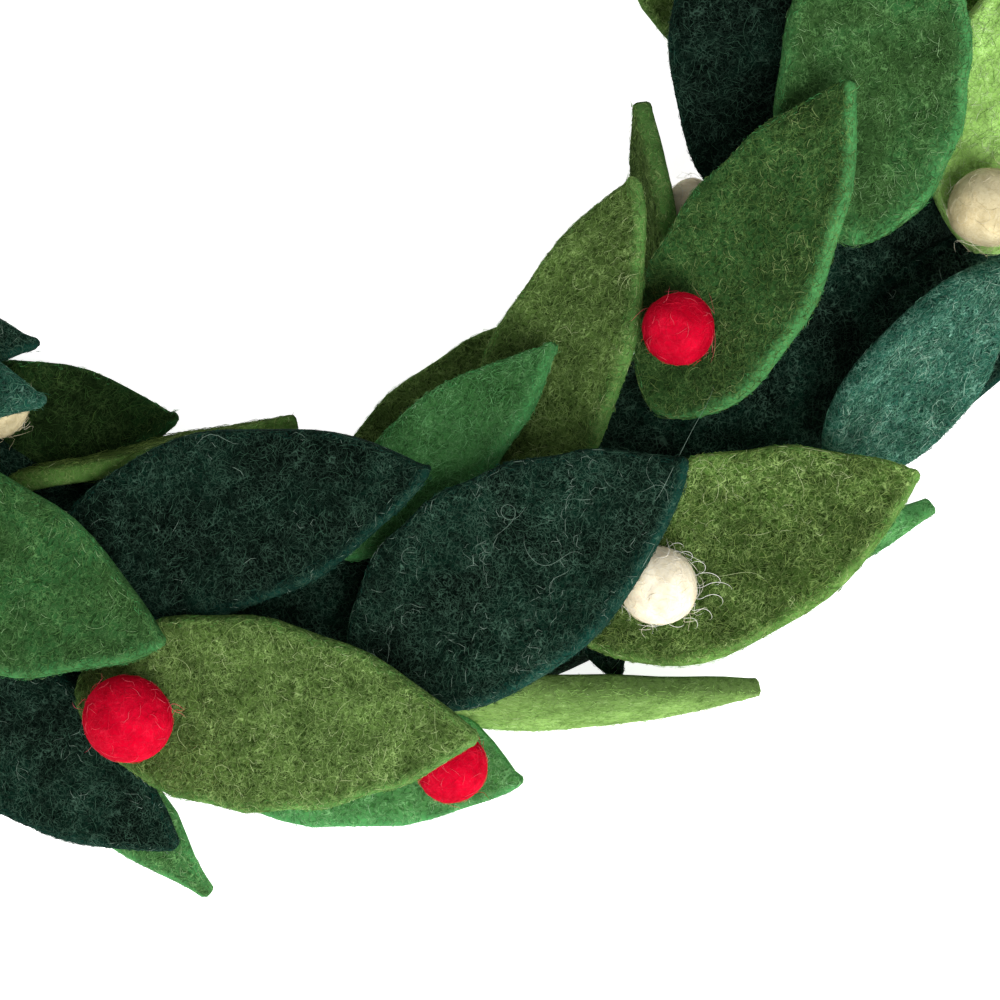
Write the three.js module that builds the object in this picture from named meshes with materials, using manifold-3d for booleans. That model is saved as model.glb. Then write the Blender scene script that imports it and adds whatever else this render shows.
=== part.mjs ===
// A felted wool wreath that lies on its back: a padded ring, two rows of felt leaves glued under and
// over it like shingles, and felted wool berries at the leaf roots. Millimetres and degrees, +Z up.
import * as THREE from "three";
import { mergeVertices } from "three/addons/utils/BufferGeometryUtils.js";
import Module from "manifold-3d";

const wasm = await Module();
wasm.setup();

// Driving dimensions
const FELT = 3; // thickness of the sheet that the leaves are cut from
const CLEARANCE = 0.3; // between two pieces that touch
const WELD = 1e-3; // corners nearer than this are one corner
const RING = { middle: 87.8, halfWidth: 16.8, height: 12, sectionSteps: 8, turns: 40 };
const RING_CENTRE = new THREE.Vector3(-2, 4.5, 0); // puts the middle of the whole outline at the origin
const OUTLINE = { rootPower: 0.6, tipPower: 0.85, endWidth: 2.4 }; // blunt ends, widest nearer the root
const TOP_GRID = { along: 8, across: 2 };
const UNDER_GRID = { along: 6, across: 2 };
// How far the leaves of a row stray: degrees, and the sine's step from leaf to leaf and its start
const UNEVEN = {
  angle: { by: 0.8, step: 2.1, start: 0 },
  splay: { by: 3, step: 1.7, start: 1 },
  roll: { by: 4, step: 1.3, start: 2 },
};
const BERRY_DETAIL = 1;
const BERRY_CLEARANCE = 0.45; // a berry stands on a cupped face

// Felt colours
const FELTS = {
  bottle: "#12352b",
  teal: "#1c4d44",
  forest: "#2f5c2c",
  kelly: "#3a7a3c",
  spring: "#2f7d46",
  moss: "#52772f",
  olive: "#46682a",
  lime: "#6f9f45",
  red: "#d3142e",
  cream: "#efe6d0",
};

// Every leaf: its root on the ring (angle, radius, rise above its seat on the ring's top), its heading
// (splay outward from the ring's tangent, pitch up, roll that lifts its inner edge), and its form
// (bend along it, cup across it, cut length and width).
const LEAF_COLUMNS = [
  "name", "felt", "angle", "radius", "rise", "splay", "pitch", "roll", "bend", "cup", "length", "width",
];

// The leaves that lie on top, in the part of the ring that is known in detail
const TOP_LEAVES = [
  ["leaf_bottle_a", "bottle", -22.5, 75.4, 0.9, -24.5, 16, -22, 0, 1, 58, 25],
  ["leaf_kelly_a", "kelly", -22, 89.3, 4.2, -17, 17, -8, 0, 3, 57, 26.5],
  ["leaf_lime_a", "lime", -18.5, 107, 10.0, 0, 12, 10, 0, 1, 56, 28],
  ["leaf_forest_a", "forest", -46.1, 79.8, 0, -16.8, 22.5, -25, 0, 1.5, 56, 25],
  ["leaf_olive_a", "olive", -67.5, 80.5, 0.3, -45, 5.5, -26, 0, 1, 55, 22],
  ["leaf_spring_a", "spring", -84.4, 78.2, 0, -37, 11, -16, 0, 1, 45, 16],
  ["leaf_teal_a", "teal", -39.2, 104.4, 2.4, -0.8, 13, 45, 0, 1.5, 40, 24],
  ["leaf_moss_a", "moss", -65, 95.8, 2.1, 3, 14.6, -8, 0, 1.5, 56, 28],
  ["leaf_bottle_b", "bottle", -83, 95.5, 3.8, -26, 18, -10, 0, 1.5, 58, 30],
  ["leaf_bottle_c", "bottle", -112, 85.5, 0, -36, 15, -2, 0, 1, 58, 26],
  ["leaf_kelly_b", "kelly", -134, 98.5, 1.1, -24, 15.5, 0, 0, 1, 59, 29],
  ["leaf_olive_b", "olive", -106.5, 102, 7.4, -11, 14, 8, 0, 1, 60, 28],
  ["leaf_bottle_d", "bottle", -124, 107.2, 6, 2, 2, 18, 0, 1, 55, 26],
  ["leaf_teal_b", "teal", -149.8, 91.8, 0.3, -47.8, 8, -10, 0, 1, 48, 18],
];

// The rows that go round the rest of the ring: like leaves at an even step, with felts in turn
const ROW_COLUMNS = [
  "name", "felts", "count", "angle", "step", "radius", "rise", "splay", "pitch", "roll", "bend", "cup",
  "length", "width",
];
const INNER_FELTS = ["olive", "kelly", "bottle", "forest", "moss"];
const OUTER_FELTS = ["teal", "forest", "lime", "bottle", "kelly"];
const TOP_ROWS = [
  ["leaf_inner", INNER_FELTS, 9, 5.3, 22.5, 83, 0.2, -30, 14, -12, 0, 1, 57, 27],
  ["leaf_outer", OUTER_FELTS, 9, 16, 22.5, 99.4, 0.8, -2, 13, 9, 0, 1, 57, 28],
];

// The leaves under them, glued to the ring's flanks
const UNDER_LEAVES = [
  ["under_moss_b", "moss", -121.5, 79.5, -4.7, -43, 4, -80, 0, 0, 45, 13],
  ["under_olive_a", "olive", -40.4, 75.8, -4, -48, 5, -74, 0, 0, 38, 14],
  ["under_olive_b", "olive", -86, 77.4, -7.9, -43, 1, -15, 0, 0, 47, 17],
  ["under_spring_a", "spring", -64, 97.5, -2, 19, 0, 60, -24, 0, 57, 16],
  ["under_lime_a", "lime", -82, 99.3, -1.2, 15, 0, 66, -17, 0, 57, 18],
  ["under_spring_b", "spring", -102, 101, -4, 1, 0, 8, 0, 0, 58, 28],
  ["under_kelly_a", "kelly", -121, 100, -6, 16, 0, 10, 0, 0, 59, 16],
  ["under_forest_a", "forest", -136, 87, -9, -49, 0, -6, 0, 0, 47, 21],
  ["under_bottle_a", "bottle", -151.6, 90.7, -8, -56.6, 2, -8, 0, 0, 44, 14],
  ["under_bottle_b", "bottle", -60.7, 83.6, -8.7, 99.3, 0, 0, 0, 0, 25, 12],
];
const UNDER_ROWS = [
  ["under_inner", ["olive", "forest", "bottle"], 9, -6, 22.5, 77, -6, -46, 2, -18, 0, 0, 46, 24],
  ["under_outer", ["bottle", "moss", "spring"], 12, -38, 22.5, 100, -5, 8, 2, 12, 0, 0, 54, 24],
];

// Felted berries: which leaf carries each, on which side of it (1 over, -1 under), and where on it
// (share of its length, share of its half-width)
const BERRY_COLUMNS = ["name", "felt", "leaf", "side", "along", "across", "diameter"];
const BERRIES = [
  ["berry_red_a", "red", "leaf_olive_b", 1, 0.19, -0.1, 12.4],
  ["berry_red_b", "red", "leaf_forest_a", 1, 0.26, 0.12, 10.4],
  ["berry_red_c", "red", "under_spring_b", 1, 0.81, 0.2, 10.6],
  ["berry_cream_a", "cream", "leaf_moss_a", 1, 0.305, -0.15, 11],
  ["berry_cream_b", "cream", "under_olive_a", -1, 0.58, 0, 8],
  ["berry_cream_c", "cream", "leaf_lime_a", 1, 0.13, 0.3, 11.5],
  ["berry_cream_d", "cream", "under_forest_a", 1, 0.45, 0.25, 10],
];
// The berries of the rows: one on every leaf, beside the tip that lies over its root
const ROW_BERRY_COLUMNS = ["name", "felts", "row", "count", "side", "along", "across", "diameter"];
const ROW_BERRIES = [
  ["berry_inner", ["cream", "red"], "leaf_inner", 9, 1, 0.4, -0.95, 10],
  ["berry_outer", ["red", "cream", "red"], "leaf_outer", 9, 1, 0.32, 0.35, 11],
];

const rad = THREE.MathUtils.degToRad;

// A row of a table as an object with the column names as keys.
function rowOf(columns, values) {
  return Object.fromEntries(columns.map((column, i) => [column, values[i]]));
}

// Half of a leaf's width at a share s of its length.
function halfWidth(leaf, s) {
  const { rootPower: a, tipPower: b, endWidth } = OUTLINE;
  const widest = a / (a + b);
  const share = (s / widest) ** a * ((1 - s) / (1 - widest)) ** b;
  return Math.max(endWidth, leaf.width * share) / 2;
}

// A point of a leaf in its own frame, root at the origin and length along +X:
// s along it (0 to 1), w across it (-1 to 1), d through it (-0.5 to 0.5).
function leafPoint(leaf, s, w, d) {
  const across = w * halfWidth(leaf, s);
  const halfSpan = leaf.width / 2;
  const slope = (2 * leaf.cup * across) / halfSpan ** 2;
  const normal = new THREE.Vector3(0, -slope, 1).normalize();
  const point = new THREE.Vector3(0, across, leaf.cup * (across / halfSpan) ** 2);
  point.addScaledVector(normal, d * FELT);
  const turn = rad(leaf.bend);
  point.applyAxisAngle(new THREE.Vector3(0, 1, 0), -turn * s);
  const middle = turn
    ? new THREE.Vector3(Math.sin(turn * s) / turn, 0, (1 - Math.cos(turn * s)) / turn)
    : new THREE.Vector3(s, 0, 0);
  return point.addScaledVector(middle, leaf.length);
}

// The closed solid of a leaf: a box whose grid follows the leaf's outline, finer near its ends.
function leafGeometry(leaf, grid) {
  const geometry = new THREE.BoxGeometry(1, 1, 1, grid.along, grid.across, 1);
  const position = geometry.getAttribute("position");
  const point = new THREE.Vector3();
  for (let i = 0; i < position.count; i++) {
    point.fromBufferAttribute(position, i);
    const s = (1 - Math.cos(Math.PI * (point.x + 0.5))) / 2;
    point.copy(leafPoint(leaf, s, 2 * point.y, point.z));
    position.setXYZ(i, point.x, point.y, point.z);
  }
  geometry.computeVertexNormals();
  return geometry;
}

// Height of the middle of a leaf that lies on the ring's crown at a radius.
function seatHeight(radius) {
  const across = (radius - RING.middle) / RING.halfWidth;
  const rest = CLEARANCE + FELT / 2;
  if (Math.abs(across) >= 1) return rest;
  const round = Math.sqrt(1 - across ** 2);
  const slope = (RING.height * across) / (RING.halfWidth * round);
  return Math.min(RING.height * round + rest * Math.hypot(1, slope), RING.height + rest);
}

// Sets a mesh at a leaf's root on the ring; the group that it returns carries the angle.
function placeLeaf(mesh, leaf) {
  mesh.position.set(leaf.radius, 0, seatHeight(leaf.radius) + leaf.rise);
  mesh.rotation.set(rad(leaf.roll), rad(-leaf.pitch), rad(90 - leaf.splay), "ZYX");
  const station = new THREE.Group();
  station.rotation.z = rad(leaf.angle);
  station.add(mesh);
  station.updateMatrixWorld(true);
  return station;
}

// The matt material of a felt colour.
function feltMaterial(felt) {
  return new THREE.MeshStandardMaterial({ color: FELTS[felt], roughness: 0.95, metalness: 0 });
}

// The padded ring: half round, with a flat back.
function ringGeometry() {
  const { middle, halfWidth: half, height, sectionSteps, turns } = RING;
  const crown = new THREE.EllipseCurve(middle, 0, half, height, 0, Math.PI);
  const section = crown.getPoints(sectionSteps);
  section.push(section[0].clone());
  return new THREE.LatheGeometry(section, turns).rotateX(Math.PI / 2);
}

// A mesh's closed geometry, in world space, as a solid that can be joined.
function solidOf(mesh) {
  const bare = mesh.geometry.clone().applyMatrix4(mesh.matrixWorld);
  bare.deleteAttribute("normal");
  bare.deleteAttribute("uv");
  const merged = mergeVertices(bare, WELD);
  return new wasm.Manifold(
    new wasm.Mesh({
      numProp: 3,
      vertProperties: merged.getAttribute("position").array,
      triVerts: new Uint32Array(merged.index.array),
    }),
  );
}

// A joined solid as a geometry.
function geometryOf(solid) {
  const made = solid.getMesh();
  const geometry = new THREE.BufferGeometry();
  geometry.setAttribute("position", new THREE.BufferAttribute(made.vertProperties, made.numProp));
  geometry.setIndex(new THREE.BufferAttribute(made.triVerts, 1));
  geometry.computeVertexNormals();
  return geometry;
}

// The ring with the under leaves joined to it.
function baseMesh(leaves) {
  const ring = new THREE.Mesh(ringGeometry());
  ring.updateMatrixWorld(true);
  let solid = solidOf(ring);
  for (const leaf of leaves) {
    const mesh = new THREE.Mesh(leafGeometry(leaf, UNDER_GRID));
    placeLeaf(mesh, leaf);
    solid = solid.add(solidOf(mesh));
  }
  const base = new THREE.Mesh(geometryOf(solid), feltMaterial("bottle"));
  base.name = "base";
  return base;
}

// A berry that sits on a face of its leaf, inside the same mesh frame.
function berryMesh(berry, leaf, leafMesh) {
  const radius = berry.diameter / 2;
  const seat = leafPoint(leaf, berry.along, berry.across, berry.side / 2);
  const far = leafPoint(leaf, berry.along, berry.across, -berry.side / 2);
  const normal = seat.clone().sub(far).normalize();
  const mesh = new THREE.Mesh(
    new THREE.IcosahedronGeometry(radius, BERRY_DETAIL),
    feltMaterial(berry.felt),
  );
  mesh.name = berry.name;
  mesh.position.copy(seat).addScaledVector(normal, radius + BERRY_CLEARANCE);
  leafMesh.add(mesh);
}

// How far leaf i of a row strays from its even place.
function stray({ by, step, start }, i) {
  return by * Math.sin(step * i + start);
}

// Every leaf of a row, as rows of the leaf table.
function leavesOf(values) {
  const { name, felts, count, angle, step, ...form } = rowOf(ROW_COLUMNS, values);
  return Array.from({ length: count }, (_, i) => ({
    ...form,
    name: `${name}_${i + 1}`,
    felt: felts[i % felts.length],
    angle: angle + i * step + stray(UNEVEN.angle, i),
    splay: form.splay + stray(UNEVEN.splay, i),
    roll: form.roll + stray(UNEVEN.roll, i),
  }));
}

// A berry for every leaf of a row.
function berriesOf(values) {
  const { name, felts, row, count, ...place } = rowOf(ROW_BERRY_COLUMNS, values);
  return Array.from({ length: count }, (_, i) => ({
    ...place,
    name: `${name}_${i + 1}`,
    felt: felts[i % felts.length],
    leaf: `${row}_${i + 1}`,
  }));
}

const topLeaves = [
  ...TOP_LEAVES.map((values) => rowOf(LEAF_COLUMNS, values)),
  ...TOP_ROWS.flatMap(leavesOf),
];
const underLeaves = [
  ...UNDER_LEAVES.map((values) => rowOf(LEAF_COLUMNS, values)),
  ...UNDER_ROWS.flatMap(leavesOf),
];
const berries = [
  ...BERRIES.map((values) => rowOf(BERRY_COLUMNS, values)),
  ...ROW_BERRIES.flatMap(berriesOf),
];

const wreath = new THREE.Group();
wreath.position.copy(RING_CENTRE);
wreath.add(baseMesh(underLeaves));
const carriers = new Map();
for (const leaf of topLeaves) {
  const mesh = new THREE.Mesh(leafGeometry(leaf, TOP_GRID), feltMaterial(leaf.felt));
  mesh.name = leaf.name;
  carriers.set(leaf.name, { leaf, station: placeLeaf(mesh, leaf), frame: mesh });
}
for (const leaf of underLeaves) {
  const frame = new THREE.Group();
  carriers.set(leaf.name, { leaf, station: placeLeaf(frame, leaf), frame });
}
for (const { station } of carriers.values()) wreath.add(station);
for (const berry of berries) {
  const { leaf, frame } = carriers.get(berry.leaf);
  berryMesh(berry, leaf, frame);
}

export default wreath;
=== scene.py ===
"""A felted wool wreath on its back: felt leaves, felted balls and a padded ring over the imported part."""

import logging
import math
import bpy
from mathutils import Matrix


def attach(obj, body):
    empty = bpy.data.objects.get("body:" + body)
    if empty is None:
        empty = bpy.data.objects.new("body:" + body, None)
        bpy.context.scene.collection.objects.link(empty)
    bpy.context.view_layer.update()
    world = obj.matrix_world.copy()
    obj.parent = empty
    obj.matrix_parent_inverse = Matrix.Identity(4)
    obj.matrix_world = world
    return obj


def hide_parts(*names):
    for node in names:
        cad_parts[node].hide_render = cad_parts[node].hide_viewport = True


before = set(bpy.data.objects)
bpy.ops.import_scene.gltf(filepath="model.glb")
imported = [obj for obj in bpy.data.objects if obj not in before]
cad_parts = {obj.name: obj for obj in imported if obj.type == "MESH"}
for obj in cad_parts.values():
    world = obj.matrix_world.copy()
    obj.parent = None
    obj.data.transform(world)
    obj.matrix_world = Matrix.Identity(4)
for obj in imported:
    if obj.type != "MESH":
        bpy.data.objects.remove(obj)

import zlib
from dataclasses import dataclass, field, replace
from enum import Enum

import bmesh
import bpy
import numpy as np
from mathutils import Matrix, Vector

LOG = logging.getLogger("felt_wreath")

MM = 0.001
ROOT_BODY = "root"
RING_PIECE = "padded_ring"

# The felt sheet, and how the leaves and balls are seated, in millimetres
FELT = 3.0
CLEARANCE = 0.3
BALL_CLEARANCE = 0.45
RING_CENTRE = (-2.0, 4.5, 0.0)

# The leaf's cut: blunt ends, widest nearer the root
ROOT_POWER = 0.6
TIP_POWER = 0.85
END_WIDTH = 2.4
# The outer edge of a leaf is rounded more and turned to the light, and its lighter rim of cut wool is
# wider and stronger there, partly a painted highlight: the rounding in millimetres, and the rim's width and
# strength
INNER_ROUND = 0.9
OUTER_ROUND = 1.5
INNER_RIM = (0.7, 0.3)
OUTER_RIM_AND_HIGHLIGHT = (1.9, 1.0)

FULL_TURN = 2 * math.pi
# Least lengths: of a vector, of half a leaf's width, and of an edge that runs along an axis of the box
TINY = 1e-9
LEAST_HALF = 1e-6
LEAST_EDGE = 1e-4

# What each of a piece's streams of random numbers adds to its seed
CUT_STREAM = 1
FUZZ_STREAM = 2
CLOUD_STREAM = 3

# Hand work: how far a leaf's face waves and its cut strays, and how long the waves are, in millimetres
FACE_WAVE = 0.22
FACE_WAVE_COUNT = 3
FACE_WAVE_REACH = (9, 22)
CUT_WAVE = 0.3
CUT_WAVE_REACH = (11, 24)
# Strands of the face stay this far inside the cut
EDGE_TUCK = 0.1
# Steps for adding up a leaf's area and for drawing places by its width, and the part of it that is drawn
AREA_STEPS = 201
START_STEPS = 200
START_SPAN = (0.01, 0.99)
# The share of a leaf's length over which its root gets painted light and shade
ROOT_TONE_REACH = 0.45

# How the angle, splay and roll of a row's leaves stray: degrees, the sine's step and its start
ROW_STRAYS = ((0.8, 2.1, 0.0), (3.0, 1.7, 1.0), (4.0, 1.3, 2.0))

# A strand of wool: its sides, a direction that no strand runs along, and its least height over the floor
STRAND_SIDES = 3
STRAND_LEAN = (0.31, 0.52, 0.79)
FLOOR_CLEAR = 0.1
# A strand's free end flicks up: the power of its curve, and its height for the height of an arch
FLICK_POWER = 1.5
FLICK_GAIN = 1.8
# A listed hair: the highest power of its curve and its points
HAIR_DEGREE = 6
HAIR_POINTS = 22

# The ring's mesh: points closer than this are one, in millimetres, and edges sharper than this are creased
WELD = 0.01
BACK_CREASE = math.radians(50)

# A ball's lumps: how many waves they are made of, and the radians that each runs through over the radius
LUMP_WAVES = 5
LUMP_REACH = (2.0, 4.5)

# The felt's pattern: each field's size in millimetres, its detail and where it starts
FELT_FIELDS = {
    "clouds": (11.0, 2.0, 0.3),
    "patches": (3.2, 2.0, 1.7),
    "pits": (0.8, 1.0, 2.9),
    "loops": (2.3, 0.5, 4.1),
    "long_curls": (1.6, 0.5, 5.6),
    "curls": (1.15, 0.4, 7.2),
    "short_curls": (0.85, 0.3, 8.8),
    "fine_curls": (0.62, 0.2, 10.4),
}
# A curled strand is where its field crosses the middle: half the band's width and the strand's strength
CURL_BANDS = {
    "loops": (0.013, 1.0),
    "long_curls": (0.018, 0.95),
    "curls": (0.024, 0.85),
    "short_curls": (0.03, 0.75),
    "fine_curls": (0.04, 0.6),
}
# The fields' warp and middle, the bands over which they are read, and how far they lighten and darken
FIELD_WARP = 0.7
FIELD_MIDDLE = 0.5
CLOUD_BAND = (0.4, 0.62)
PATCH_BAND = (0.34, 0.66)
PIT_BAND = (0.5, 0.36)
PATCH_SHADE = (-0.15, 0.15)
CLOUD_SHADE = (-0.12, 0.12)
FULL_TONE = 1.0
# The strands left where the felt is thin, and the cut edge's share of the colour there
THIN_SHARE = 0.4
RIM_SHARE = 0.7
# Wool has no shine of its own, only a soft gloss along single strands
RELIEF_STRENGTH = 0.7
FELT_ROUGHNESS = 0.95
FELT_GLOSS = 0.02
SHEEN_ROUGHNESS = 0.5
STRAND_ROUGHNESS = 0.75
STRAND_GLOSS = 0.04

# Loose wool lies in clouds of lighter and darker strands: their waves and the waves' length, their
# share of the draw, and how much more a piece's painted light and shade counts
CLOUD_WAVES = 4
CLOUD_REACH = (5, 14)
CLOUD_SWAY = 0.16
PAINTED_LIGHT_SWAY = 5.0
# One strand lies on the under face for this many on the upper
UNDER_FACE_PART = 16

# The fuzz of the cut edge: the part of the length, its turn round the edge, and the outer edge's share
EDGE_SPAN = (0.02, 0.99)
EDGE_TURN = (-0.5, 1.75)
OUTER_FUZZ = 0.6
# How far the strands of a face turn from their main direction, and the most that one winds round a
# ball, in radians
LAY_SPREAD = 1.0
WIND_LIMIT = 1.2
# How high on a ball its strands start: evenly spread, or gathered round the sides
STRAND_HEIGHT = 1.0
WISP_HEIGHT = 0.45


class Felt(Enum):
    """The wools of the wreath, named for their colours."""

    BOTTLE = "bottle"
    TEAL = "teal"
    FOREST = "forest"
    KELLY = "kelly"
    SPRING = "spring"
    MOSS = "moss"
    OLIVE = "olive"
    LIME = "lime"
    RED = "red"
    CREAM = "cream"
    CREAM_IN_SHADE = "cream_in_shade"

    @property
    def slot(self) -> str:
        """Name the record's material slot: the cream in shade is the cream wool, darker all over as painted
        shade.
        """
        kept = Felt.CREAM if self is Felt.CREAM_IN_SHADE else self
        return f"felt_{kept.value}"


class Shade(Enum):
    """The wools in a dye's mix, as a coat numbers them."""

    DARK = 0
    MIDDLE = 1
    PALE = 2
    CUT_EDGE = 3


class Layer(Enum):
    """Where a leaf lies on the ring."""

    TOP = "top"
    UNDER = "under"


def linear(hex_colour: str) -> tuple[float, float, float, float]:
    """Turn an sRGB hex colour into linear light.

    Args:
        hex_colour: The colour as #rrggbb.

    Returns:
        Linear red, green and blue, with full opacity.
    """
    channels = [int(hex_colour[i : i + 2], 16) / 255 for i in (1, 3, 5)]
    light = [c / 12.92 if c <= 0.04045 else ((c + 0.055) / 1.055) ** 2.4 for c in channels]
    return (*light, 1.0)


def per_metre(size_mm: float) -> float:
    """Give the texture scale whose pattern repeats about every size_mm millimetres."""
    return 1.0 / (size_mm * MM)


def seed_of(name: str) -> int:
    """Give a piece its own fixed seed from its name."""
    return zlib.crc32(name.encode())


def feed(tree: bpy.types.NodeTree, node: bpy.types.Node, sockets: dict) -> None:
    """Set or link a node's inputs.

    Args:
        tree: The node tree that holds the node.
        node: The node.
        sockets: Input name or number to a value, or to the output socket that feeds it.
    """
    for key, value in sockets.items():
        if isinstance(value, bpy.types.NodeSocket):
            tree.links.new(value, node.inputs[key])
        else:
            node.inputs[key].default_value = value


def add_node(
    tree: bpy.types.NodeTree,
    kind: str,
    sockets: dict | None = None,
    **settings: object,
) -> bpy.types.Node:
    """Add a node, set its options, and set or link its inputs.

    Args:
        tree: The node tree that gets the node.
        kind: The node's type name.
        sockets: Input name or number to a value, or to the output socket that feeds it.
        **settings: The node's own options.

    Returns:
        The new node.
    """
    node = tree.nodes.new(kind)
    for option, value in settings.items():
        setattr(node, option, value)
    feed(tree, node, sockets or {})
    return node


def smooth_mesh(bm: bmesh.types.BMesh, name: str) -> bpy.types.Mesh:
    """Turn a finished bmesh into a smooth-shaded mesh.

    Args:
        bm: The bmesh, which is freed.
        name: The mesh's name.

    Returns:
        The mesh.
    """
    mesh = bpy.data.meshes.new(name)
    bm.to_mesh(mesh)
    bm.free()
    mesh.shade_smooth()
    return mesh


def new_piece(name: str, mesh: bpy.types.Mesh) -> bpy.types.Object:
    """Link a mesh into the scene as a piece that rides on the part.

    Args:
        name: The piece's name.
        mesh: Its mesh, in metres and in the part's frame.

    Returns:
        The new object.
    """
    piece = bpy.data.objects.new(name, mesh)
    bpy.context.scene.collection.objects.link(piece)
    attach(piece, ROOT_BODY)
    return piece


@dataclass(frozen=True)
class FeltFinish:
    """Pressed wool felt of one dye: the pits, two grounds, the strands, the cut edge and the loose wool.

    The last values are its sheen, how strongly its strands and pits show, and its relief in millimetres.
    """

    pit: str
    ground: str
    second: str
    strand: str
    rim: str
    loose: tuple[str, str, str]
    sheen: float = 0.04
    strand_share: float = 0.95
    pit_share: float = 0.75
    relief: float = 0.18

    def material(self, felt: Felt) -> bpy.types.Material:
        """Build the felt's surface.

        Args:
            felt: The dye that the material is named for.

        Returns:
            The node material.
        """
        # Pressed wool felt: curled strands over pits darkened as painted shade, no shine, and a brighter
        # woolly cut edge, brightest on the outer side as a painted highlight.
        made = bpy.data.materials.new(f"pressed_wool_felt_{felt.value}")
        made.use_nodes = True
        tree = made.node_tree
        place = add_node(tree, "ShaderNodeTexCoord").outputs["Object"]
        fields = {
            part: add_node(
                tree,
                "ShaderNodeTexNoise",
                {
                    "Vector": place,
                    "W": start,
                    "Scale": per_metre(size),
                    "Detail": detail,
                    "Distortion": FIELD_WARP,
                },
                noise_dimensions="4D",
            ).outputs["Fac"]
            for part, (size, detail, start) in FELT_FIELDS.items()
        }
        tangle = self.tangle(tree, fields)
        spans = {
            "cloudy": ("clouds", CLOUD_BAND, (0.0, FULL_TONE)),
            "hollows": ("pits", PIT_BAND, (0.0, self.pit_share)),
            "density": ("patches", PATCH_BAND, (THIN_SHARE * self.strand_share, self.strand_share)),
            "patch_shade": ("patches", PATCH_BAND, PATCH_SHADE),
            "cloud_shade": ("clouds", CLOUD_BAND, CLOUD_SHADE),
        }
        spread = {
            name: add_node(
                tree,
                "ShaderNodeMapRange",
                {0: fields[part], 1: band[0], 2: band[1], 3: ends[0], 4: ends[1]},
            ).outputs[0]
            for name, (part, band, ends) in spans.items()
        }
        ground = add_node(
            tree,
            "ShaderNodeMix",
            {"Factor": spread["cloudy"], 6: linear(self.ground), 7: linear(self.second)},
            data_type="RGBA",
        ).outputs[2]
        cut_edge = add_node(tree, "ShaderNodeAttribute", attribute_name="rim").outputs["Fac"]
        edge_share = add_node(
            tree, "ShaderNodeMath", {0: cut_edge, 1: RIM_SHARE}, operation="MULTIPLY"
        ).outputs[0]
        dyed = add_node(
            tree, "ShaderNodeMix", {"Factor": edge_share, 6: ground, 7: linear(self.rim)}, data_type="RGBA"
        ).outputs[2]
        face_share = add_node(
            tree, "ShaderNodeMath", {0: FULL_TONE, 1: edge_share}, operation="SUBTRACT"
        ).outputs[0]
        # Painted shade: the pit colour darkens the felt's hollows.
        deep = add_node(
            tree, "ShaderNodeMath", {0: spread["hollows"], 1: face_share}, operation="MULTIPLY"
        ).outputs[0]
        pitted = add_node(
            tree, "ShaderNodeMix", {"Factor": deep, 6: dyed, 7: linear(self.pit)}, data_type="RGBA"
        ).outputs[2]
        shown = add_node(
            tree, "ShaderNodeMath", {0: tangle, 1: spread["density"]}, operation="MULTIPLY"
        ).outputs[0]
        woolly = add_node(
            tree, "ShaderNodeMix", {"Factor": shown, 6: pitted, 7: linear(self.strand)}, data_type="RGBA"
        ).outputs[2]
        value = FULL_TONE
        for part in ("patch_shade", "cloud_shade"):
            value = add_node(
                tree, "ShaderNodeMath", {0: spread[part], 1: value}, operation="ADD"
            ).outputs[0]
        # Painted light and shade: the piece's tone attribute lightens or darkens the whole felt.
        tone = add_node(tree, "ShaderNodeAttribute", attribute_name="tone").outputs["Fac"]
        deepened = add_node(
            tree, "ShaderNodeMath", {0: tone, 1: value, 2: value}, operation="MULTIPLY_ADD"
        ).outputs[0]
        mottled = add_node(tree, "ShaderNodeHueSaturation", {"Value": deepened, "Color": woolly}).outputs[0]
        height = add_node(
            tree, "ShaderNodeMath", {0: tangle, 1: deep}, operation="SUBTRACT"
        ).outputs[0]
        bump = add_node(
            tree,
            "ShaderNodeBump",
            {"Strength": RELIEF_STRENGTH, "Distance": self.relief * MM, "Height": height},
        ).outputs["Normal"]
        finish = {
            "Base Color": mottled,
            "Normal": bump,
            "Roughness": FELT_ROUGHNESS,
            "Specular IOR Level": FELT_GLOSS,
            "Sheen Weight": self.sheen,
            "Sheen Roughness": SHEEN_ROUGHNESS,
            "Sheen Tint": linear(self.rim),
        }
        feed(tree, tree.nodes["Principled BSDF"], finish)
        return made

    def tangle(
        self, tree: bpy.types.NodeTree, fields: dict[str, bpy.types.NodeSocket]
    ) -> bpy.types.NodeSocket:
        """Draw the curled strands of the felt's skin.

        Args:
            tree: The felt's nodes.
            fields: The pattern's fields by name.

        Returns:
            One on a strand and zero between strands.
        """
        tangle = None
        for part, (half_band, strength) in CURL_BANDS.items():
            off_middle = add_node(
                tree, "ShaderNodeMath", {0: fields[part], 1: FIELD_MIDDLE}, operation="SUBTRACT"
            ).outputs[0]
            distance = add_node(
                tree, "ShaderNodeMath", {0: off_middle}, operation="ABSOLUTE"
            ).outputs[0]
            curl = add_node(
                tree,
                "ShaderNodeMapRange",
                {0: distance, 1: 0.0, 2: half_band, 3: strength, 4: 0.0},
                interpolation_type="SMOOTHSTEP",
            ).outputs[0]
            if tangle is None:
                tangle = curl
            else:
                tangle = add_node(
                    tree, "ShaderNodeMath", {0: tangle, 1: curl}, operation="MAXIMUM"
                ).outputs[0]
        return tangle

    def wools(self, felt: Felt) -> list[bpy.types.Material]:
        """Build the wools of the loose strands, one for each shade of the dye's mix.

        Args:
            felt: The dye that the materials are named for.

        Returns:
            The dark, middle, pale and cut-edge strand materials, in the order of Shade.
        """
        made = []
        for shade, colour in zip(Shade, (*self.loose, self.rim)):
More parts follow.
